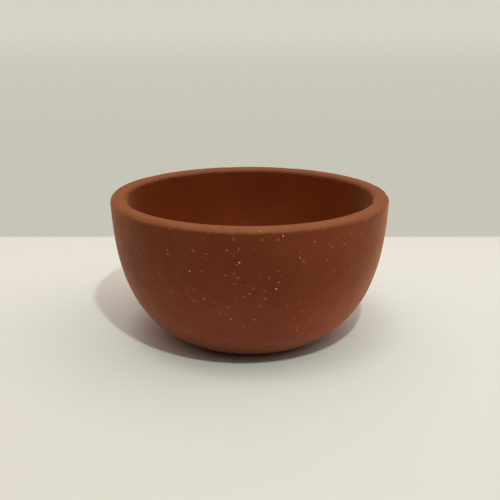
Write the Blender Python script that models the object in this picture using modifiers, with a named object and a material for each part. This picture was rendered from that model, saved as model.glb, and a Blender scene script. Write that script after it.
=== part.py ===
"""Small tea bowl of unglazed red-brown stoneware, hand-built from three pieces of clay.

The wall, the floor slab and the foot ring are all turned about +Z. Units are metres, the bowl
stands on z = 0, and its axis runs through the origin.
"""

import math

import bpy
from mathutils import Vector

# Overall sizes
RIM_RADIUS = 0.0325
BOWL_HEIGHT = 0.0340

# Wall and lip
WALL_THICKNESS = 0.0035
LIP_OUTER_ROUND = 0.0010
LIP_INNER_ROUND = 0.0011

# Outside curve of the bowl: it leaves the lip nearly upright and turns under to the standing edge
RIM_LEAN = math.radians(2.5)
RIM_REACH = 0.0075
BASE_RADIUS = 0.0169
BASE_SLOPE = math.radians(23.3)
BASE_REACH = 0.0164

# Inside curve of the bowl: it drops from the lip and runs level into the middle of the floor
FLOOR_THICKNESS = 0.0030
INSIDE_RIM_REACH = 0.0180
INSIDE_FLOOR_SPREAD = 0.0071

# Seam between the wall and the floor slab, and the film of slip in every seam
SLAB_OVERHANG = 0.0045
SEAM_GAP = 0.0003

# Foot ring, whose outer face carries on the outside curve
FOOT_HEIGHT = 0.0010
FOOT_WIDTH = 0.0035
FOOT_EDGE_ROUND = 0.0003

# How finely the round shapes are divided
TURN_STEPS = 64
WALL_CURVE_POINTS = 12
SLAB_CURVE_POINTS = 6
FOOT_CURVE_POINTS = 4
ARC_POINTS = 4
BISECTION_STEPS = 50
MERGE_DISTANCE = 0.000001

# Colours of the fired clay, with the hidden pieces a little darker and rougher
WALL_CLAY = (0.335, 0.119, 0.064, 1.0)
FLOOR_CLAY = (0.310, 0.108, 0.058, 1.0)
FOOT_CLAY = (0.285, 0.098, 0.052, 1.0)
WALL_ROUGHNESS = 0.58
FLOOR_ROUGHNESS = 0.62
FOOT_ROUGHNESS = 0.70

UNDERSIDE = FOOT_HEIGHT + SEAM_GAP
FLOOR_TOP = UNDERSIDE + FLOOR_THICKNESS
INSIDE_FLOOR_REACH = BASE_RADIUS + INSIDE_FLOOR_SPREAD
FOOT_INNER_RADIUS = BASE_RADIUS - FOOT_WIDTH


def curve_point(curve, t):
    """Point of a cubic curve, given by its four control points, at t from 0 to 1."""
    start, start_handle, end_handle, end = curve
    s = 1.0 - t
    return start * s**3 + start_handle * (3 * s * s * t) + end_handle * (3 * s * t * t) + end * t**3


def curve_direction(curve, t):
    """Unit direction in which the curve runs at t."""
    start, start_handle, end_handle, end = curve
    s = 1.0 - t
    speed = (start_handle - start) * (s * s) + (end_handle - start_handle) * (2 * s * t)
    return (speed + (end - end_handle) * (t * t)).normalized()


def curve_stretch(curve, first, last, count):
    """Points along the curve from t = first to t = last, both included."""
    return [curve_point(curve, first + (last - first) * i / (count - 1)) for i in range(count)]


def first_t_past(curve, is_past):
    """The t where a test on the curve's points turns from false to true."""
    low, high = 0.0, 1.0
    for _ in range(BISECTION_STEPS):
        middle = (low + high) / 2
        if is_past(curve_point(curve, middle)):
            high = middle
        else:
            low = middle
    return high


def quarter_arc(centre, radius, first_degrees):
    """Points of a clockwise quarter circle that starts at the given angle from +X."""
    angles = [math.radians(first_degrees - 90 * i / (ARC_POINTS - 1)) for i in range(ARC_POINTS)]
    return [centre + radius * Vector((math.cos(a), math.sin(a))) for a in angles]


def outside_curve():
    """From just under the lip's outer edge down to the edge that the bowl stands on."""
    rim = Vector((RIM_RADIUS, BOWL_HEIGHT - LIP_OUTER_ROUND))
    base = Vector((BASE_RADIUS, 0.0))
    down = Vector((-math.sin(RIM_LEAN), -math.cos(RIM_LEAN)))
    up_and_out = Vector((math.cos(BASE_SLOPE), math.sin(BASE_SLOPE)))
    return rim, rim + RIM_REACH * down, base + BASE_REACH * up_and_out, base


def inside_curve():
    """From just under the lip's inner edge down to the middle of the floor."""
    rim = Vector((RIM_RADIUS - WALL_THICKNESS, BOWL_HEIGHT - LIP_INNER_ROUND))
    middle = Vector((0.0, FLOOR_TOP))
    down = Vector((-math.sin(RIM_LEAN), -math.cos(RIM_LEAN)))
    outward = Vector((1.0, 0.0))
    return rim, rim + INSIDE_RIM_REACH * down, middle + INSIDE_FLOOR_REACH * outward, middle


class Seam:
    """Mitred seam, square to the outside of the bowl, between the wall and the floor slab."""

    def __init__(self):
        outside = outside_curve()
        t = first_t_past(outside, lambda point: point.x < BASE_RADIUS + SLAB_OVERHANG)
        self.point = curve_point(outside, t)
        self.direction = curve_direction(outside, t)

    def crossing(self, curve, setback):
        """The t where a curve meets the seam, or a plane that lies a setback above it."""
        return first_t_past(curve, lambda point: (point - self.point).dot(self.direction) > -setback)


def wall_section():
    """Closed outline of the wall: down the outside, across the seam, up the inside, over the lip."""
    outside = outside_curve()
    inside = inside_curve()
    seam = Seam()
    outer_points = curve_stretch(outside, 0.0, seam.crossing(outside, SEAM_GAP), WALL_CURVE_POINTS)
    inner_points = curve_stretch(inside, seam.crossing(inside, SEAM_GAP), 0.0, WALL_CURVE_POINTS)
    inner_centre = inside[0] + Vector((LIP_INNER_ROUND, 0.0))
    outer_centre = outside[0] - Vector((LIP_OUTER_ROUND, 0.0))
    inner_lip = quarter_arc(inner_centre, LIP_INNER_ROUND, 180)
    outer_lip = quarter_arc(outer_centre, LIP_OUTER_ROUND, 90)
    return outer_points + inner_points + inner_lip[1:] + outer_lip[:-1]


def slab_section():
    """Outline of the floor slab, from the middle of its top round to the middle of its underside."""
    outside = outside_curve()
    inside = inside_curve()
    seam = Seam()
    top_points = curve_stretch(inside, 1.0, seam.crossing(inside, 0.0), SLAB_CURVE_POINTS)
    lowest = first_t_past(outside, lambda point: point.y < UNDERSIDE)
    side_points = curve_stretch(outside, seam.crossing(outside, 0.0), lowest, SLAB_CURVE_POINTS)
    return top_points + side_points + [Vector((0.0, UNDERSIDE))]


def foot_section():
    """Closed outline of the foot ring, with its inner standing edge softened."""
    outside = outside_curve()
    top_t = first_t_past(outside, lambda point: point.y < FOOT_HEIGHT)
    outer_face = curve_stretch(outside, top_t, 1.0, FOOT_CURVE_POINTS)
    inner_centre = Vector((FOOT_INNER_RADIUS + FOOT_EDGE_ROUND, FOOT_EDGE_ROUND))
    inner_edge = quarter_arc(inner_centre, FOOT_EDGE_ROUND, 270)
    return outer_face + inner_edge + [Vector((FOOT_INNER_RADIUS, FOOT_HEIGHT))]


def clay(name, colour, roughness):
    """Matt fired clay of one colour."""
    material = bpy.data.materials.new(name)
    material.use_nodes = True
    shader = material.node_tree.nodes["Principled BSDF"]
    shader.inputs["Base Color"].default_value = colour
    shader.inputs["Roughness"].default_value = roughness
    shader.inputs["Metallic"].default_value = 0.0
    return material


def turned_piece(name, section, is_closed, material, collection, parent):
    """One clay piece: its section stands in the XZ plane and is turned about +Z."""
    edges = [(i, i + 1) for i in range(len(section) - 1)]
    if is_closed:
        edges.append((len(section) - 1, 0))
    mesh = bpy.data.meshes.new(name)
    mesh.from_pydata([(point.x, 0.0, point.y) for point in section], edges, [])
    mesh.materials.append(material)
    piece = bpy.data.objects.new(name, mesh)
    piece.parent = parent
    collection.objects.link(piece)
    turn = piece.modifiers.new("Turn", "SCREW")
    turn.axis = "Z"
    turn.steps = TURN_STEPS
    turn.render_steps = TURN_STEPS
    turn.use_merge_vertices = True
    turn.merge_threshold = MERGE_DISTANCE
    turn.use_smooth_shade = True
    return piece


def main():
    for item in list(bpy.data.objects):
        bpy.data.objects.remove(item, do_unlink=True)
    collection = bpy.data.collections.new("tea_bowl")
    bpy.context.scene.collection.children.link(collection)
    axis = bpy.data.objects.new("bowl_axis", None)
    collection.objects.link(axis)

    wall_clay = clay("wall_clay", WALL_CLAY, WALL_ROUGHNESS)
    floor_clay = clay("floor_clay", FLOOR_CLAY, FLOOR_ROUGHNESS)
    foot_clay = clay("foot_clay", FOOT_CLAY, FOOT_ROUGHNESS)
    turned_piece("bowl_wall", wall_section(), True, wall_clay, collection, axis)
    turned_piece("floor_disc", slab_section(), False, floor_clay, collection, axis)
    turned_piece("foot_ring", foot_section(), True, foot_clay, collection, axis)


main()
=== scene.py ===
"""Looks of the tea bowl: unglazed red-brown stoneware with pale sand grains, on a pale surface.

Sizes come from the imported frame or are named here, in metres. The bowl stands on z = 0 and its
axis runs through the origin. The camera looks along +Y, so the front of the bowl faces -Y.
"""

import math
import random
from collections import namedtuple

import bmesh
import bpy
import numpy as np
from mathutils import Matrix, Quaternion, Vector, noise


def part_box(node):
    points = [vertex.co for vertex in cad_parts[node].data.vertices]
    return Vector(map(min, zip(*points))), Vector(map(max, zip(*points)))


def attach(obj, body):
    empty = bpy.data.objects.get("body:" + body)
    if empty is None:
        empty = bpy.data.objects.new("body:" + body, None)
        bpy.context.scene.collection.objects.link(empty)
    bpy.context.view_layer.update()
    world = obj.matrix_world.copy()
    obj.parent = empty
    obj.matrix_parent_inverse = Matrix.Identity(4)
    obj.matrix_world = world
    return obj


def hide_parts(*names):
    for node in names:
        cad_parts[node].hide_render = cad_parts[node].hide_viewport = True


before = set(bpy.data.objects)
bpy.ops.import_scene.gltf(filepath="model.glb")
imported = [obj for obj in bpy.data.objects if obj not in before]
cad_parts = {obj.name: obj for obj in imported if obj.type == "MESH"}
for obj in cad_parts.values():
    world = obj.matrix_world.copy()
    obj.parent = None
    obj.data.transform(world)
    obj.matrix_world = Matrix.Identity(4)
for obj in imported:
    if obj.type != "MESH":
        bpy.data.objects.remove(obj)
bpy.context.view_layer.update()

# Sizes read from the frame
RIM_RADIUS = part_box("bowl_wall")[1].x
BOWL_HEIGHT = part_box("bowl_wall")[1].z
SLAB_LOW, SLAB_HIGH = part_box("floor_disc")
SEAM_RADIUS = SLAB_HIGH.x

# The bowl's section, as in the solids
WALL_THICKNESS = 0.0035
LIP_OUTER_ROUND = 0.0010
LIP_INNER_ROUND = 0.0011
RIM_LEAN = math.radians(2.5)
RIM_REACH = 0.0075
BASE_RADIUS = 0.0169
BASE_SLOPE = math.radians(23.3)
BASE_REACH = 0.0164
INSIDE_RIM_REACH = 0.0180
INSIDE_FLOOR_REACH = 0.0240
FLOOR_THICKNESS = 0.0030
FOOT_WIDTH = 0.0035
FOOT_EDGE_ROUND = 0.0003
UNDERSIDE = SLAB_LOW.z
FLOOR_TOP = UNDERSIDE + FLOOR_THICKNESS
FOOT_INNER_RADIUS = BASE_RADIUS - FOOT_WIDTH

# The outer standing edge is a little rounded, where the solids leave it sharp
BASE_EDGE_ROUND = 0.0005

# Fineness of the clay surface
SEGMENTS = 432
WALL_SPACING = 0.00050
LIP_SPACING = 0.00018
HALVING_RADII = (0.0120, 0.0060, 0.0030, 0.0015)
CURVE_SAMPLES = 400
ON_AXIS = 1e-9
FULL_TURN = 2 * math.pi

# What the maker's hands left: slow waves round the wall and along the lip, and fine relief
WOBBLE_WAVES = (2, 3, 4, 5, 7)
WALL_WOBBLE = 0.00010
LIP_WAVE = 0.00006
LIP_WAVE_FADE = 4
COARSE_RELIEF = 0.000030
COARSE_RELIEF_SIZE = 0.0045
FINE_RELIEF = 0.000012
FINE_RELIEF_SIZE = 0.0013

# Small chips along the outer edge of the lip
CHIP_COUNT = 70
CHIP_WIDTHS = (0.00025, 0.00070)
CHIP_DEPTHS = (0.00006, 0.00024)

# Clearest grains and dark specks on the front: degrees to the right, and height in millimetres
CLEAR_GRAINS = (
    (-3.5, 27.2), (-6.5, 29), (-22, 24.5), (23.5, 30.7), (11.5, 32.5), (-17.5, 13.5), (-7.5, 14),
    (12.5, 28.7), (-8.5, 24.3), (0, 20.3), (10.5, 22.7), (-30.5, 20.5), (-23, 18.2), (-17.5, 18.5),
    (-28, 9), (18, 27.7), (2, 14), (21, 10), (6, 19), (31, 29), (3.5, 33.7),
)
CLEAR_SPECKS = (
    (-9, 28.9), (-4.2, 27.3), (-8.2, 14.1), (9.8, 22.9), (21, 25.5), (9, 21.1), (11.5, 31.2),
    (-22.5, 17.1),
)

# Sand scattered in the clay. A grain's tone runs from 0, a dark speck, to 1, the palest sand
PALE_GRAINS_OUTSIDE = 400
DARK_SPECKS_OUTSIDE = 80
PALE_GRAINS_INSIDE = 14
DARK_SPECKS_INSIDE = 8
# A dark flake beside a share of the pale grains paints the shade of the pit that the grain tore
COMPANION_SHARE = 0.45
COMPANION_GAP = 1.1
CLEAR_RADII = (0.00017, 0.00025)
PALE_RADII = (0.00010, 0.00022)
DARK_RADII = (0.00016, 0.00032)
CLEAR_TONES = (0.65, 1.0)
PALE_TONES = (0.12, 0.55)
PALE_PROUD = (0.25, 0.55)
DARK_PROUD = (0.20, 0.35)
GRAIN_FLATTENING = (0.55, 0.95)
GRAIN_JITTER = 0.25
DARK_TONE = 0.1
RINGS_WITHOUT_GRAINS = 4

# Colours of the clay, its grains and its pores, with tints that paint light and shade: a paler lip, a
# lighter lower wall and right side, a darker foot and dark pores
CLAY_LOW = (0.137, 0.0262, 0.0080, 1.0)
CLAY_HIGH = (0.164, 0.0333, 0.0104, 1.0)
CLAY_CLOUD = (0.130, 0.0241, 0.0071, 1.0)
CLAY_DUST = (0.197, 0.0494, 0.0187, 1.0)
# Paler clay on the top of the lip: painted light, where light from above falls on the lip
PAINTED_LIT_LIP_CLAY = (0.268, 0.0870, 0.0330, 1.0)
INSIDE_TINT = (1.12, 0.93, 0.63, 1.0)
# Lighter lower wall: painted light, as thrown up by the surface under the bowl
PAINTED_BOUNCE_LIGHT_TINT = (1.39, 1.37, 1.74, 1.0)
# Lighter right side: painted light from the lamp on the right
PAINTED_LIGHT_SIDE_TINT = (1.27, 1.23, 1.21, 1.0)
# Darker foot: painted shade near the surface under the bowl, reaching higher on the left, away from the
# lamp
PAINTED_FOOT_SHADE_TINT = (0.50, 0.42, 0.62, 1.0)
# Dark colour of the pores: painted shade in their pits
PORE_SHADE_COLOUR = (0.035, 0.0100, 0.0045, 1.0)
PATCH_COLOUR = (0.370, 0.1500, 0.0800, 1.0)
SHEEN_TINT = (1.0, 0.46, 0.20, 1.0)
GRAIN_DARK = (0.022, 0.0075, 0.0040, 1.0)
GRAIN_DULL = (0.300, 0.1050, 0.0520, 1.0)
GRAIN_PALE = (0.760, 0.5000, 0.3200, 1.0)
GRAIN_DUST = (0.400, 0.1700, 0.0850, 1.0)

# Where the painted light and shade lie: each fades in from the first value to the second, by height or to
# the right
PAINTED_BOUNCE_LIGHT_TINT_HEIGHTS = (0.72 * BOWL_HEIGHT, 0.28 * BOWL_HEIGHT)
# The painted shade at the foot reaches higher towards the left
PAINTED_FOOT_SHADE_TINT_HEIGHTS = (0.0070, 0.0010)
PAINTED_FOOT_SHADE_TINT_TILT = 0.12
PAINTED_LIGHT_SIDE_REACH = (0.05 * RIM_RADIUS, 0.66 * RIM_RADIUS)
# The band of painted light on the lip, with a ragged lower edge
PAINTED_LIT_LIP_HEIGHTS = (BOWL_HEIGHT - 0.0013, BOWL_HEIGHT - 0.0004)
PAINTED_LIT_LIP_STRENGTH = 0.95
PAINTED_LIT_LIP_JITTER = 0.00012

# Noise in the clay, its dust and its roughness. Over a span of its values a noise fades in
Cloud = namedtuple("Cloud", "size detail seed")
BROAD_CLOUD = Cloud(0.016, 2.0, 0.0)
MIDDLE_CLOUD = Cloud(0.0035, 3.0, 3.0)
FINE_CLOUD = Cloud(0.00035, 2.0, 6.0)
SURFACE_CLOUD = Cloud(0.00028, 3.0, 9.0)
LIT_LIP_JITTER_CLOUD = Cloud(0.0011, 2.0, 12.0)
DUST_CLOUD = Cloud(0.00012, 2.0, 2.0)
CLOUD_SPAN = (0.3, 0.7)
FINE_SPAN = (0.35, 0.75)
DUST_SPAN = (0.45, 0.75)
ROUGHNESS_SPAN = (0.25, 0.75)
MIDDLE_STRENGTH = 0.35
FINE_STRENGTH = 0.30
DUST_STRENGTH = 0.40

# Small balls in the clay that make spots where its surface cuts them: the size of the cell that
# each has to itself, its radius, the share of them that are kept, and a shift of the whole pattern
Balls = namedtuple("Balls", "cell radius share shift")
PORES = Balls(0.0018, 0.00026, 0.40, 0.1)
PATCHES = Balls(0.0017, 0.00044, 0.55, 0.2)
BALL_CORE = 0.4
PORE_SHADE_STRENGTH = 0.80
PATCH_STRENGTH = 0.38
RAGGED_SIZE = 0.00045
RAGGED_REACH = 0.0006

# Gloss and fine surface of the clay, the grains and the surface under the bowl
CLAY_ROUGHNESS = (0.48, 0.60)
CLAY_SPECULAR = 0.09
SHEEN_WEIGHT = 0.43
SHEEN_ROUGHNESS = 0.37
BUMP_STRENGTH = 0.30
BUMP_HEIGHT = 0.00006
GRAIN_ROUGHNESS = 0.45
GRAIN_SPECULAR = 0.25
FLOOR_ROUGHNESS = 0.9
FLOOR_SPECULAR = 0.1

# Camera, fitted to the photo's outline: a 500 pixel wide frame with this focal length in pixels
FRAME_PIXELS = 500
FOCAL_PIXELS = 694
SENSOR_WIDTH = 36.0
CAMERA_PLACE = (0.0001, -0.1606, 0.0704)
CAMERA_PITCH = math.radians(17.56)
CAMERA_CLIP = (0.005, 10.0)

# Surface under the bowl. Beyond a line behind the bowl it is seen as a grey backdrop, which grows
# lighter over a span of the share depth / (depth + fade distance)
FLOOR_HALF_SIZE = 6.0
# The near colour is darker: painted shade towards the front, where the lamp lights the surface more
# strongly
FLOOR_NEAR = (0.69, 0.69, 0.62, 1.0)
FLOOR_FAR = (0.88, 0.91, 0.83, 1.0)
FLOOR_NEAR_LINE = -0.110
FLOOR_FAR_LINE = 0.060
BACK_LINE = 0.0786
BACK_LINE_BLUR = 0.0030
BACK_NEAR = (0.575, 0.553, 0.480, 1.0)
BACK_FAR = (0.675, 0.646, 0.563, 1.0)
BACK_FADE_DISTANCE = 1.30
BACK_FADE_SPAN = (0.15, 1.0)

# Lamp in front, to the right and above, which casts the bowl's shadow
LAMP_PLACE = (0.0463, -0.1855, 0.2582)
LAMP_TARGET = (0.0, 0.0, 0.015)
LAMP_DIAMETER = 0.0145
LAMP_POWER = 0.309
LAMP_COLOUR = (0.90, 1.10, 1.05)

# Soft panels of light round the bowl: azimuth from +X and elevation in degrees, and a sharpness
# that narrows the panel
Panel = namedtuple("Panel", "azimuth elevation sharpness colour")
SOFT_PANELS = {
    "above": Panel(221, 81, 150, (8.10, 8.20, 8.20)),
    "front and above": Panel(270, 70, 10, (1.26, 1.21, 1.14)),
    "right": Panel(0, 45, 8, (1.47, 1.17, 1.15)),
    "left": Panel(180, 45, 8, (0.80, 0.48, 0.44)),
    "back": Panel(90, 50, 8, (1.06, 0.94, 0.85)),
}

SEED = 11

Ring = namedtuple("Ring", "points is_inside")
Spot = namedtuple("Spot", "place normal")
Chip = namedtuple("Chip", "place width depth")


def spaced(points, spacing):
    """A polyline resampled at even steps of about the given length, ends included."""
    points = np.array(points, float)
    steps = np.hypot(*np.diff(points, axis=0).T)
    travelled = np.concatenate([[0.0], np.cumsum(steps)])
    count = max(2, round(travelled[-1] / spacing) + 1)
    wanted = np.linspace(0.0, travelled[-1], count)
    return np.stack([np.interp(wanted, travelled, points[:, k]) for k in (0, 1)], axis=1)


def cubic_curve(*controls):
    """Fine points of a cubic curve through (radius, height) pairs: start, two handles and end."""
    start, start_handle, end_handle, end = (np.array(point, float) for point in controls)
    t = np.linspace(0.0, 1.0, CURVE_SAMPLES)[:, None]
    s = 1.0 - t
    return start * s**3 + start_handle * (3 * s * s * t) + end_handle * (3 * s * t * t) + end * t**3


def arc(centre, radius, first_degrees, last_degrees):
    """Fine points of an arc in the section."""
    angles = np.radians(np.linspace(first_degrees, last_degrees, CURVE_SAMPLES))
    return np.array(centre) + radius * np.stack([np.cos(angles), np.sin(angles)], axis=1)


def inside_curve():
    """From the middle of the floor up to the lip's inner edge."""
    rim = (RIM_RADIUS - WALL_THICKNESS, BOWL_HEIGHT - LIP_INNER_ROUND)
    drop = INSIDE_RIM_REACH * math.cos(RIM_LEAN)
    lower = (rim[0] - INSIDE_RIM_REACH * math.sin(RIM_LEAN), rim[1] - drop)
    return cubic_curve((0.0, FLOOR_TOP), (INSIDE_FLOOR_REACH, FLOOR_TOP), lower, rim)


def lip_curve():
    """Over the lip, from its inner edge to its outer edge."""
    inner_centre = (RIM_RADIUS - WALL_THICKNESS + LIP_INNER_ROUND, BOWL_HEIGHT - LIP_INNER_ROUND)
    outer_centre = (RIM_RADIUS - LIP_OUTER_ROUND, BOWL_HEIGHT - LIP_OUTER_ROUND)
    inner = arc(inner_centre, LIP_INNER_ROUND, 180, 90)
    outer = arc(outer_centre, LIP_OUTER_ROUND, 90, 0)
    return np.concatenate([inner, outer])


def outside_curve():
    """From the lip's outer edge down and round the edge that the bowl stands on."""
    rim = np.array([RIM_RADIUS, BOWL_HEIGHT - LIP_OUTER_ROUND])
    down = np.array([-math.sin(RIM_LEAN), -math.cos(RIM_LEAN)])
    up_and_out = np.array([math.cos(BASE_SLOPE), math.sin(BASE_SLOPE)])
    edge_length = BASE_EDGE_ROUND * math.tan(BASE_SLOPE / 2)
    foot = np.array([BASE_RADIUS, 0.0])
    lower_handle = foot + BASE_REACH * up_and_out
    wall = cubic_curve(rim, rim + RIM_REACH * down, lower_handle, foot + edge_length * up_and_out)
    edge_centre = (BASE_RADIUS - edge_length, BASE_EDGE_ROUND)
    edge = arc(edge_centre, BASE_EDGE_ROUND, math.degrees(BASE_SLOPE) - 90, -90)
    return np.concatenate([wall, edge[1:]])


def standing_curve(start):
    """Under the foot ring from the end of the outside, and up its inner face to the floor slab."""
    inner_centre = (FOOT_INNER_RADIUS + FOOT_EDGE_ROUND, FOOT_EDGE_ROUND)
    inner_edge = arc(inner_centre, FOOT_EDGE_ROUND, 270, 180)
    return np.concatenate([[start], inner_edge, [(FOOT_INNER_RADIUS, UNDERSIDE)]])


class Section:
    """The clay's outline as (radius, height) pairs: over the floor, up, over the lip and under."""

    def __init__(self):
        inside = spaced(inside_curve(), WALL_SPACING)
        lip = spaced(lip_curve(), LIP_SPACING)
        outside = spaced(outside_curve(), WALL_SPACING)
        foot = spaced(standing_curve(outside[-1]), LIP_SPACING)
        underside = spaced([foot[-1], (0.0, UNDERSIDE)], WALL_SPACING)
        self.points = np.concatenate([inside[:-1], lip, outside[1:], foot[1:], underside[1:]])
        self.lip_start = len(inside) - 1
        self.lip_end = self.lip_start + len(lip) - 1
        self.lip_crest = self.lip_end - int(np.argmax(lip[::-1, 1]))
        self.base = self.lip_end + len(outside) - 1
        self.foot_top = self.lip_end + int(np.argmin(np.abs(outside[:, 1] - UNDERSIDE)))
        self.foot_end = self.base + len(foot) - 1
        self.outer_seam = self.lip_end + int(np.argmin(np.abs(outside[:, 0] - SEAM_RADIUS)))
        gaps = np.hypot(*(self.points[:self.lip_start] - self.points[self.outer_seam]).T)
        self.inner_seam = int(np.argmin(gaps))
        along = np.gradient(self.points, axis=0)
        along /= np.hypot(*along.T)[:, None]
        self.normals = np.stack([-along[:, 1], along[:, 0]], axis=1)

    def at(self, index):
        """Radius, height and normal at an index, which may lie between two points."""
        low = min(int(index), len(self.points) - 2)
        share = index - low
        radius, height = self.points[low] * (1 - share) + self.points[low + 1] * share
        normal_out, normal_up = self.normals[low] * (1 - share) + self.normals[low + 1] * share
        return radius, height, normal_out, normal_up

    def random_index(self, first, last, rng):
        """An index between two others, with even chances for each bit of the surface it sweeps."""
        stretch = self.points[first:last + 1]
        areas = stretch[1:, 0] * np.hypot(*np.diff(stretch, axis=0).T)
        return rng.choices(range(first, last), areas)[0] + rng.random()

    def outside_index(self, height):
        """The index at which the outside passes a height."""
        heights = self.points[self.lip_crest:self.base + 1, 1]
        return self.lip_crest + float(np.interp(-height, -heights, range(len(heights))))


def ring_segments(radius):
    """Fewer segments near the axis, where rings are short."""
    return SEGMENTS >> sum(radius < limit for limit in HALVING_RADII)


def slow_waves(angle, height, phases):
    """Sum of slow waves round the bowl, which drift with the height."""
    total = 0.0
    for count, (phase, drift) in zip(WOBBLE_WAVES, phases):
        total += math.cos(count * angle + phase + drift * height / BOWL_HEIGHT) / count
    return total


def lip_chips(rng):
    """Small chips at random along the lip's outer edge."""
    edge = (1 - math.sqrt(0.5)) * LIP_OUTER_ROUND
    made = []
    for _ in range(CHIP_COUNT):
        angle = rng.uniform(0, FULL_TURN)
        out = RIM_RADIUS - edge
        place = Vector((out * math.cos(angle), out * math.sin(angle), BOWL_HEIGHT - edge))
        made.append(Chip(place, rng.uniform(*CHIP_WIDTHS), rng.uniform(*CHIP_DEPTHS)))
    return made


class ClaySkin:
    """The clay's whole surface, as rings of points from the middle of the floor to the underside."""

    def __init__(self, section, rng):
        self.section = section
        self.wall_phases = [(rng.uniform(0, FULL_TURN), rng.uniform(-1, 1)) for _ in WOBBLE_WAVES]
        self.lip_phases = [(rng.uniform(0, FULL_TURN), 0.0) for _ in WOBBLE_WAVES]
        self.chips = lip_chips(rng)
        self.rings = [self.ring(index) for index in range(len(section.points))]

    def ring(self, index):
        """One ring of points, or a single point on the axis."""
        outline = self.section.at(index)
        is_inside = index < self.section.lip_start
        if outline[0] < ON_AXIS:
            return Ring([Vector((0.0, 0.0, outline[1]))], is_inside)
        count = ring_segments(outline[0])
        points = [self.moved(FULL_TURN * i / count, *outline).place for i in range(count)]
        return Ring(points, is_inside)

    def spot(self, index, angle):
        """The finished surface at an index of the section and an angle from +X."""
        return self.moved(angle, *self.section.at(index))

    def moved(self, angle, radius, height, normal_out, normal_up):
        """A point of the plain surface, moved by the slow waves, the relief and the chips."""
        share = height / BOWL_HEIGHT
        sway = WALL_WOBBLE * share * slow_waves(angle, height, self.wall_phases)
        out = radius * (1 + sway / RIM_RADIUS)
        up = height + LIP_WAVE * share**LIP_WAVE_FADE * slow_waves(angle, height, self.lip_phases)
        cosine, sine = math.cos(angle), math.sin(angle)
        place = Vector((out * cosine, out * sine, up))
        normal = Vector((normal_out * cosine, normal_out * sine, normal_up))
        rise = COARSE_RELIEF * noise.noise(place / COARSE_RELIEF_SIZE)
        rise += FINE_RELIEF * noise.noise(place / FINE_RELIEF_SIZE)
        if height > BOWL_HEIGHT - 2 * LIP_OUTER_ROUND:
            rise -= self.chipped(place)
        place += rise * normal
        place.z = max(place.z, 0.0)
        return Spot(place, normal)

    def chipped(self, place):
        """How deep the lip is chipped at a place."""
        depth = 0.0
        for chip in self.chips:
            away = (place - chip.place).length_squared / (chip.width * chip.width)
            depth += chip.depth * math.exp(-away)
        return depth


def loft(bm, lower, upper):
    """Faces between two rings of vertices: alike, one with half as many, or a single point."""
    if len(lower) == 1 or len(upper) == 1:
        tip, ring = (lower[0], upper) if len(lower) == 1 else (upper[0], lower)
        for i in range(len(ring)):
            bm.faces.new((tip, ring[i], ring[(i + 1) % len(ring)]))
        return
    if len(lower) == len(upper):
        n = len(lower)
        for i in range(n):
            bm.faces.new((lower[i], lower[(i + 1) % n], upper[(i + 1) % n], upper[i]))
        return
    few, many = (lower, upper) if len(lower) < len(upper) else (upper, lower)
    n = len(few)
    for i in range(n):
        first, middle, last = many[2 * i], many[2 * i + 1], many[(2 * i + 2) % len(many)]
        after = few[(i + 1) % n]
        bm.faces.new((few[i], first, middle))
        bm.faces.new((few[i], middle, after))
        bm.faces.new((after, middle, last))


def clay_piece(name, rings, is_loop, normals=None):
    """A closed piece of clay through rings of points, shaded with the given normal of each point."""
    bm = bmesh.new()
    vertex_rings = [[bm.verts.new(point) for point in ring.points] for ring in rings]
    for lower, upper in zip(vertex_rings, vertex_rings[1:]):
        loft(bm, lower, upper)
    if is_loop:
        loft(bm, vertex_rings[-1], vertex_rings[0])
    bmesh.ops.recalc_face_normals(bm, faces=bm.faces)
    mesh = bpy.data.meshes.new(name)
    bm.to_mesh(mesh)
    bm.free()
    mesh.shade_smooth()
    if normals:
        mesh.normals_split_custom_set_from_vertices([normal for ring in normals for normal in ring])
    inside = mesh.attributes.new("inside", "FLOAT", "POINT")
    inside.data.foreach_set("value", [float(ring.is_inside) for ring in rings for _ in ring.points])
    piece = bpy.data.objects.new(name, mesh)
    bpy.context.scene.collection.objects.link(piece)
    return piece


def skin_normals(rings):
    """Smooth normals of the unbroken clay surface, ring by ring, so that the seams don't show."""
    skin = clay_piece("skin", rings, False)
    vertices = iter(skin.data.vertices)
    normals = [[next(vertices).normal.copy() for _ in ring.points] for ring in rings]
    bpy.data.objects.remove(skin)
    return normals


class SandGrains:
    """Angular grains bedded in the clay, gathered into one mesh."""

    def __init__(self, rng):
        self.rng = rng
        self.points, self.faces, self.tones = [], [], []
        bm = bmesh.new()
        bmesh.ops.create_icosphere(bm, subdivisions=1, radius=1.0)
        self.corners = [vertex.co.copy() for vertex in bm.verts]
        self.triangles = [tuple(vertex.index for vertex in face.verts) for face in bm.faces]
        bm.free()

    def add(self, spot, radius, tone, proud):
        """One grain, whose top stands over the clay by a share of its thickness."""
        rng = self.rng
        along = spot.normal.orthogonal().normalized()
        along.rotate(Quaternion(spot.normal, rng.uniform(0, FULL_TURN)))
        across = spot.normal.cross(along)
        width = radius * rng.uniform(*GRAIN_FLATTENING)
        thickness = radius * rng.uniform(*GRAIN_FLATTENING)
        centre = spot.place + spot.normal * thickness * (proud - 1.0)
        first = len(self.points)
        for corner in self.corners:
            x, y, z = corner * (1.0 + rng.uniform(-GRAIN_JITTER, GRAIN_JITTER))
            beside = centre + along * (x * radius) + across * (y * width)
            self.points.append(beside + spot.normal * (z * thickness))
        self.faces += [tuple(first + i for i in triangle) for triangle in self.triangles]
        self.tones += [tone] * len(self.corners)

    def piece(self, name):
        mesh = bpy.data.meshes.new(name)
        mesh.from_pydata(self.points, [], self.faces)
        tone = mesh.attributes.new("grain_tone", "FLOAT", "POINT")
        tone.data.foreach_set("value", self.tones)
        mesh.update()
        piece = bpy.data.objects.new(name, mesh)
        bpy.context.scene.collection.objects.link(piece)
        return piece


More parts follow.
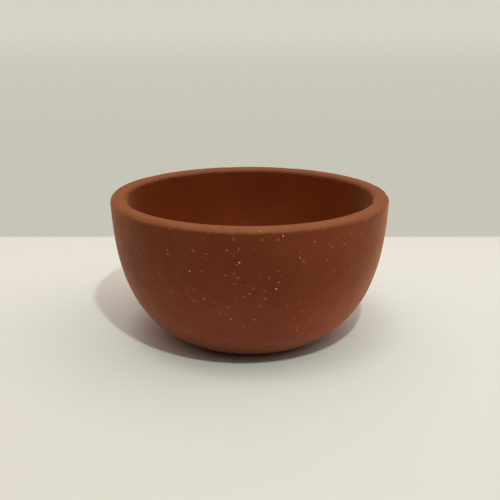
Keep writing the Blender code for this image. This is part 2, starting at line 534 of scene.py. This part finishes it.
def add_pale_grain(grains, skin, index, angle, radius, tone, rng):
    """A pale grain and, beside some of them, a dark flake that paints the shade of the pit it tore in the
    clay.
    """
    grains.add(skin.spot(index, angle), radius, tone, rng.uniform(*PALE_PROUD))
    # Painted shade: a dark flake stands for the shaded pit beside the grain
    if rng.random() < COMPANION_SHARE:
        dark = rng.uniform(*DARK_RADII)
        away = (radius + dark) * COMPANION_GAP / 2
        turn = rng.uniform(0, FULL_TURN)
        near_index = index + away * math.cos(turn) / WALL_SPACING
        near_angle = angle + away * math.sin(turn) / skin.section.at(index)[0]
        grains.add(skin.spot(near_index, near_angle), dark, 0.0, rng.uniform(*DARK_PROUD))


def front_spot(skin, degrees, millimetres):
    """The outside at some degrees to the right of the front and a height."""
    index = skin.section.outside_index(millimetres / 1000)
    return skin.spot(index, math.radians(degrees - 90))


def sand_grains(skin, rng):
    """The clearest grains where the photo shows them, and the rest at random."""
    grains = SandGrains(rng)
    section = skin.section
    for degrees, millimetres in CLEAR_GRAINS:
        spot = front_spot(skin, degrees, millimetres)
        radius = rng.uniform(*CLEAR_RADII)
        tone = rng.uniform(*CLEAR_TONES)
        grains.add(spot, radius, tone, rng.uniform(*PALE_PROUD))
    for degrees, millimetres in CLEAR_SPECKS:
        spot = front_spot(skin, degrees, millimetres)
        grains.add(spot, rng.uniform(*DARK_RADII), 0.0, rng.uniform(*DARK_PROUD))
    lowest = section.base - RINGS_WITHOUT_GRAINS
    # Stretches of the section from one ring to another, with their counts of grains and specks
    zones = (
        (section.lip_start, lowest, PALE_GRAINS_OUTSIDE, DARK_SPECKS_OUTSIDE),
        (1, section.lip_start, PALE_GRAINS_INSIDE, DARK_SPECKS_INSIDE),
    )
    for first, last, pale_count, dark_count in zones:
        for _ in range(pale_count):
            index = section.random_index(first, last, rng)
            angle = rng.uniform(0, FULL_TURN)
            radius = rng.uniform(*PALE_RADII)
            add_pale_grain(grains, skin, index, angle, radius, rng.uniform(*PALE_TONES), rng)
        for _ in range(dark_count):
            spot = skin.spot(section.random_index(first, last, rng), rng.uniform(0, FULL_TURN))
            grains.add(spot, rng.uniform(*DARK_RADII), 0.0, rng.uniform(*DARK_PROUD))
    return grains.piece("sand_grains")


def link_or_set(tree, socket, value):
    """Give a socket a value, or a link from another node's socket."""
    if isinstance(value, bpy.types.NodeSocket):
        tree.links.new(value, socket)
    else:
        socket.default_value = value


def add_node(tree, kind, settings=None, **inputs):
    """A shader node with its settings made and its inputs set or linked."""
    made = tree.nodes.new(kind)
    for name, value in (settings or {}).items():
        setattr(made, name, value)
    for name, value in inputs.items():
        link_or_set(tree, made.inputs[name.replace("_", " ")], value)
    return made


def mixed(tree, factor, first, second, blend="MIX"):
    """Two colours mixed by a factor."""
    made = add_node(tree, "ShaderNodeMix", {"data_type": "RGBA", "blend_type": blend})
    # The node has sockets of one name for each kind of data, so its colours are found by index
    for index, value in ((0, factor), (6, first), (7, second)):
        link_or_set(tree, made.inputs[index], value)
    return made.outputs[2]


def calculated(tree, operation, *values):
    """The result of an operation on two or three values."""
    made = add_node(tree, "ShaderNodeMath", {"operation": operation})
    for socket, value in zip(made.inputs, values):
        link_or_set(tree, socket, value)
    return made.outputs[0]


def ramp(tree, value, low, high, to_low=0.0, to_high=1.0):
    """A value eased from one range to another."""
    limits = {"From_Min": low, "From_Max": high, "To_Min": to_low, "To_Max": to_high}
    made = add_node(tree, "ShaderNodeMapRange", {"interpolation_type": "SMOOTHSTEP"}, Value=value, **limits)
    return made.outputs["Result"]


def cloud(tree, place, kind):
    """Noise from 0 to 1 with features of about the given size in metres."""
    inputs = {"Vector": place, "Scale": 1 / kind.size, "Detail": kind.detail, "W": kind.seed}
    return add_node(tree, "ShaderNodeTexNoise", {"noise_dimensions": "4D"}, **inputs).outputs["Fac"]


def ragged_places(tree, place):
    """Places shifted a little by noise, so that spots made from them get ragged outlines."""
    shift = add_node(tree, "ShaderNodeTexNoise", Vector=place, Scale=1 / RAGGED_SIZE).outputs["Color"]
    made = add_node(tree, "ShaderNodeVectorMath", {"operation": "MULTIPLY_ADD"})
    link_or_set(tree, made.inputs[0], shift)
    link_or_set(tree, made.inputs[1], [RAGGED_REACH] * 3)
    link_or_set(tree, made.inputs[2], place)
    return made.outputs["Vector"]


def specks(tree, place, balls):
    """Spots where a share of the balls scattered in the clay meet its surface, from 0 to 1."""
    moved = add_node(tree, "ShaderNodeVectorMath", {"operation": "ADD"})
    link_or_set(tree, moved.inputs[0], place)
    link_or_set(tree, moved.inputs[1], [balls.shift] * 3)
    inputs = {"Vector": moved.outputs["Vector"], "Scale": 1 / balls.cell}
    cells = add_node(tree, "ShaderNodeTexVoronoi", **inputs)
    edge = balls.radius / balls.cell
    spot = ramp(tree, cells.outputs["Distance"], edge, BALL_CORE * edge)
    chance = add_node(tree, "ShaderNodeSeparateColor", Color=cells.outputs["Color"]).outputs["Red"]
    chosen = calculated(tree, "LESS_THAN", chance, balls.share)
    return calculated(tree, "MULTIPLY", spot, chosen)


def new_material(name):
    """A material with its node tree and its shader."""
    material = bpy.data.materials.new(name)
    material.use_nodes = True
    tree = material.node_tree
    return material, tree, tree.nodes["Principled BSDF"]


def clay_colour(tree, place, middle, patches, pores):
    """Clouded clay with a tint inside and pale patches, and with painted light and shade: a lighter lower
    wall, right side and lip, a darker foot and dark pores.
    """
    axes = add_node(tree, "ShaderNodeSeparateXYZ", Vector=place).outputs
    across, height = axes["X"], axes["Z"]
    inside = add_node(tree, "ShaderNodeAttribute", {"attribute_name": "inside"}).outputs["Fac"]
    outside = calculated(tree, "SUBTRACT", 1.0, inside)

    broad_mask = ramp(tree, cloud(tree, place, BROAD_CLOUD), *CLOUD_SPAN)
    middle_mask = ramp(tree, middle, *CLOUD_SPAN, 0.0, MIDDLE_STRENGTH)
    fine_mask = ramp(tree, cloud(tree, place, FINE_CLOUD), *FINE_SPAN, 0.0, FINE_STRENGTH)
    colour = mixed(tree, broad_mask, CLAY_LOW, CLAY_HIGH)
    colour = mixed(tree, middle_mask, colour, CLAY_CLOUD)
    colour = mixed(tree, fine_mask, colour, CLAY_DUST)

    # Painted light: the outside is lightened towards the bottom, as by light from the surface under the
    # bowl
    low = ramp(tree, height, *PAINTED_BOUNCE_LIGHT_TINT_HEIGHTS)
    # Painted shade: the outside is darkened towards the standing edge, higher up on the left, away from the
    # lamp
    tilted_height = calculated(tree, "MULTIPLY_ADD", across, PAINTED_FOOT_SHADE_TINT_TILT, height)
    foot = ramp(tree, tilted_height, *PAINTED_FOOT_SHADE_TINT_HEIGHTS)
    # Painted light: the outside is lightened towards the right, where the lamp stands
    painted_light_side = ramp(tree, across, *PAINTED_LIGHT_SIDE_REACH)
    for mask, tint in ((low, PAINTED_BOUNCE_LIGHT_TINT), (foot, PAINTED_FOOT_SHADE_TINT), (painted_light_side, PAINTED_LIGHT_SIDE_TINT)):
        colour = mixed(tree, calculated(tree, "MULTIPLY", mask, outside), colour, tint, "MULTIPLY")
    colour = mixed(tree, inside, colour, INSIDE_TINT, "MULTIPLY")

    # Painted light: the top of the lip is lightened, with a ragged lower edge
    lit_lip_jitter = ramp(tree, cloud(tree, place, LIT_LIP_JITTER_CLOUD), *CLOUD_SPAN, -PAINTED_LIT_LIP_JITTER, PAINTED_LIT_LIP_JITTER)
    lip = ramp(tree, calculated(tree, "ADD", height, lit_lip_jitter), *PAINTED_LIT_LIP_HEIGHTS, 0.0, PAINTED_LIT_LIP_STRENGTH)
    colour = mixed(tree, lip, colour, PAINTED_LIT_LIP_CLAY)

    patches = calculated(tree, "MULTIPLY", patches, outside)
    colour = mixed(tree, calculated(tree, "MULTIPLY", patches, PATCH_STRENGTH), colour, PATCH_COLOUR)
    # Painted shade: the pores, dented by the bump, are also darkened as if shaded inside
    return mixed(tree, calculated(tree, "MULTIPLY", pores, PORE_SHADE_STRENGTH), colour, PORE_SHADE_COLOUR)


def clay_material():
    """Unglazed red-brown stoneware with a fine grained surface."""
    material, tree, shader = new_material("red_stoneware")
    place = add_node(tree, "ShaderNodeTexCoord").outputs["Object"]
    middle = cloud(tree, place, MIDDLE_CLOUD)
    ragged = ragged_places(tree, place)
    patches = specks(tree, ragged, PATCHES)
    pores = specks(tree, ragged, PORES)
    colour = clay_colour(tree, place, middle, patches, pores)
    tree.links.new(colour, shader.inputs["Base Color"])
    tree.links.new(ramp(tree, middle, *ROUGHNESS_SPAN, *CLAY_ROUGHNESS), shader.inputs["Roughness"])
    shader.inputs["Specular IOR Level"].default_value = CLAY_SPECULAR
    shader.inputs["Sheen Weight"].default_value = SHEEN_WEIGHT
    shader.inputs["Sheen Roughness"].default_value = SHEEN_ROUGHNESS
    shader.inputs["Sheen Tint"].default_value = SHEEN_TINT
    surface = calculated(tree, "SUBTRACT", cloud(tree, place, SURFACE_CLOUD), pores)
    bump_inputs = {"Height": surface, "Strength": BUMP_STRENGTH, "Distance": BUMP_HEIGHT}
    bump = add_node(tree, "ShaderNodeBump", **bump_inputs)
    tree.links.new(bump.outputs["Normal"], shader.inputs["Normal"])
    return material


def grain_material():
    """Sand grains from dark specks to pale quartz, dusted with clay."""
    material, tree, shader = new_material("bedded_sand")
    tone = add_node(tree, "ShaderNodeAttribute", {"attribute_name": "grain_tone"}).outputs["Fac"]
    place = add_node(tree, "ShaderNodeTexCoord").outputs["Object"]
    pale = mixed(tree, tone, GRAIN_DULL, GRAIN_PALE)
    dust = ramp(tree, cloud(tree, place, DUST_CLOUD), *DUST_SPAN, 0.0, DUST_STRENGTH)
    pale = mixed(tree, dust, pale, GRAIN_DUST)
    colour = mixed(tree, ramp(tree, tone, 0.0, DARK_TONE), GRAIN_DARK, pale)
    tree.links.new(colour, shader.inputs["Base Color"])
    shader.inputs["Roughness"].default_value = GRAIN_ROUGHNESS
    shader.inputs["Specular IOR Level"].default_value = GRAIN_SPECULAR
    return material


def floor_material():
    """Pale matt surface. Beyond a line behind the bowl it shows as a plain grey backdrop."""
    material, tree, shader = new_material("pale_surface")
    place = add_node(tree, "ShaderNodeTexCoord").outputs["Object"]
    depth = add_node(tree, "ShaderNodeSeparateXYZ", Vector=place).outputs["Y"]
    beyond = ramp(tree, depth, BACK_LINE - BACK_LINE_BLUR, BACK_LINE + BACK_LINE_BLUR)
    fade_depth = calculated(tree, "ADD", depth, BACK_FADE_DISTANCE)
    far_share = calculated(tree, "DIVIDE", depth, fade_depth)
    backdrop = mixed(tree, ramp(tree, far_share, *BACK_FADE_SPAN), BACK_NEAR, BACK_FAR)
    # Painted shade: the surface darkens towards the front, against the lamp's stronger light there
    colour = mixed(tree, ramp(tree, depth, FLOOR_NEAR_LINE, FLOOR_FAR_LINE), FLOOR_NEAR, FLOOR_FAR)
    colour = mixed(tree, beyond, colour, backdrop)
    tree.links.new(colour, shader.inputs["Base Color"])
    shader.inputs["Roughness"].default_value = FLOOR_ROUGHNESS
    shader.inputs["Specular IOR Level"].default_value = FLOOR_SPECULAR

    rays = add_node(tree, "ShaderNodeLightPath").outputs
    seen = calculated(tree, "MAXIMUM", rays["Is Camera Ray"], rays["Is Glossy Ray"])
    seen = calculated(tree, "MAXIMUM", seen, rays["Is Transmission Ray"])
    plain = add_node(tree, "ShaderNodeEmission", Color=backdrop, Strength=1.0)
    choice = add_node(tree, "ShaderNodeMixShader", Fac=calculated(tree, "MULTIPLY", seen, beyond))
    tree.links.new(shader.outputs["BSDF"], choice.inputs[1])
    tree.links.new(plain.outputs["Emission"], choice.inputs[2])
    tree.links.new(choice.outputs["Shader"], tree.nodes["Material Output"].inputs["Surface"])
    return material


def add_floor():
    """The surface that the bowl stands on."""
    half = FLOOR_HALF_SIZE
    corners = [(-half, -half, 0), (half, -half, 0), (half, half, 0), (-half, half, 0)]
    mesh = bpy.data.meshes.new("surface")
    mesh.from_pydata(corners, [], [(0, 1, 2, 3)])
    mesh.materials.append(floor_material())
    floor = bpy.data.objects.new("surface", mesh)
    bpy.context.scene.collection.objects.link(floor)


def add_camera():
    """Camera at the photo's viewing angle."""
    data = bpy.data.cameras.new("camera")
    data.sensor_width = SENSOR_WIDTH
    data.lens = FOCAL_PIXELS / FRAME_PIXELS * SENSOR_WIDTH
    data.clip_start, data.clip_end = CAMERA_CLIP
    camera = bpy.data.objects.new("camera", data)
    camera.location = CAMERA_PLACE
    camera.rotation_euler = (math.pi / 2 - CAMERA_PITCH, 0.0, 0.0)
    bpy.context.scene.collection.objects.link(camera)
    bpy.context.scene.camera = camera


def add_lamp():
    """The lamp that casts the bowl's shadow."""
    data = bpy.data.lights.new("lamp", "AREA")
    data.shape = "DISK"
    data.size = LAMP_DIAMETER
    data.energy = LAMP_POWER
    data.color = LAMP_COLOUR
    lamp = bpy.data.objects.new("lamp", data)
    lamp.location = LAMP_PLACE
    aim = Vector(LAMP_TARGET) - Vector(LAMP_PLACE)
    lamp.rotation_euler = aim.to_track_quat("-Z", "Y").to_euler()
    bpy.context.scene.collection.objects.link(lamp)


def panel_light(tree, direction, panel):
    """Light that fades with the angle from a panel's middle."""
    turn, rise = math.radians(panel.azimuth), math.radians(panel.elevation)
    facing = (math.cos(rise) * math.cos(turn), math.cos(rise) * math.sin(turn), math.sin(rise))
    toward = add_node(tree, "ShaderNodeVectorMath", {"operation": "DOT_PRODUCT"})
    link_or_set(tree, toward.inputs[0], direction)
    link_or_set(tree, toward.inputs[1], facing)
    front_half = calculated(tree, "MAXIMUM", toward.outputs["Value"], 0.0)
    strength = calculated(tree, "POWER", front_half, panel.sharpness)
    light = add_node(tree, "ShaderNodeVectorMath", {"operation": "SCALE"}, Scale=strength)
    light.inputs[0].default_value = panel.colour
    return light.outputs["Vector"]


def add_sky():
    """Soft panels of light, with a plain grey where the camera looks past the surface."""
    world = bpy.data.worlds.new("soft_panels")
    world.use_nodes = True
    tree = world.node_tree
    direction = add_node(tree, "ShaderNodeTexCoord").outputs["Generated"]
    total = (0.0, 0.0, 0.0)
    for panel in SOFT_PANELS.values():
        summed = add_node(tree, "ShaderNodeVectorMath", {"operation": "ADD"})
        link_or_set(tree, summed.inputs[0], panel_light(tree, direction, panel))
        link_or_set(tree, summed.inputs[1], total)
        total = summed.outputs["Vector"]
    rays = add_node(tree, "ShaderNodeLightPath").outputs
    colour = mixed(tree, rays["Is Camera Ray"], total, BACK_FAR)
    tree.links.new(colour, tree.nodes["Background"].inputs["Color"])
    bpy.context.scene.world = world


def add_bowl():
    """The clay pieces and the sand grains, each in the place of its solid."""
    rng = random.Random(SEED)
    section = Section()
    skin = ClaySkin(section, rng)
    normals = skin_normals(skin.rings)
    inner, outer = section.inner_seam, section.outer_seam
    wall = clay_piece("bowl_wall_clay", skin.rings[inner:outer + 1], True, normals[inner:outer + 1])
    top, end = section.foot_top, section.foot_end
    slab_rings = skin.rings[:inner + 1] + skin.rings[outer:top + 1] + skin.rings[end:]
    slab_normals = normals[:inner + 1] + normals[outer:top + 1] + normals[end:]
    slab = clay_piece("floor_disc_clay", slab_rings, False, slab_normals)
    foot = clay_piece("foot_ring_clay", skin.rings[top:end + 1], True, normals[top:end + 1])

    clay = clay_material()
    for piece, node in ((wall, "bowl_wall"), (slab, "floor_disc"), (foot, "foot_ring")):
        piece.data.materials.append(clay)
        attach(piece, "root")
        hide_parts(node)

    grains = sand_grains(skin, rng)
    grains.data.materials.append(grain_material())
    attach(grains, "root")


add_bowl()
add_floor()
add_lamp()
add_sky()
add_camera()
bpy.context.scene.view_settings.view_transform = "Standard"
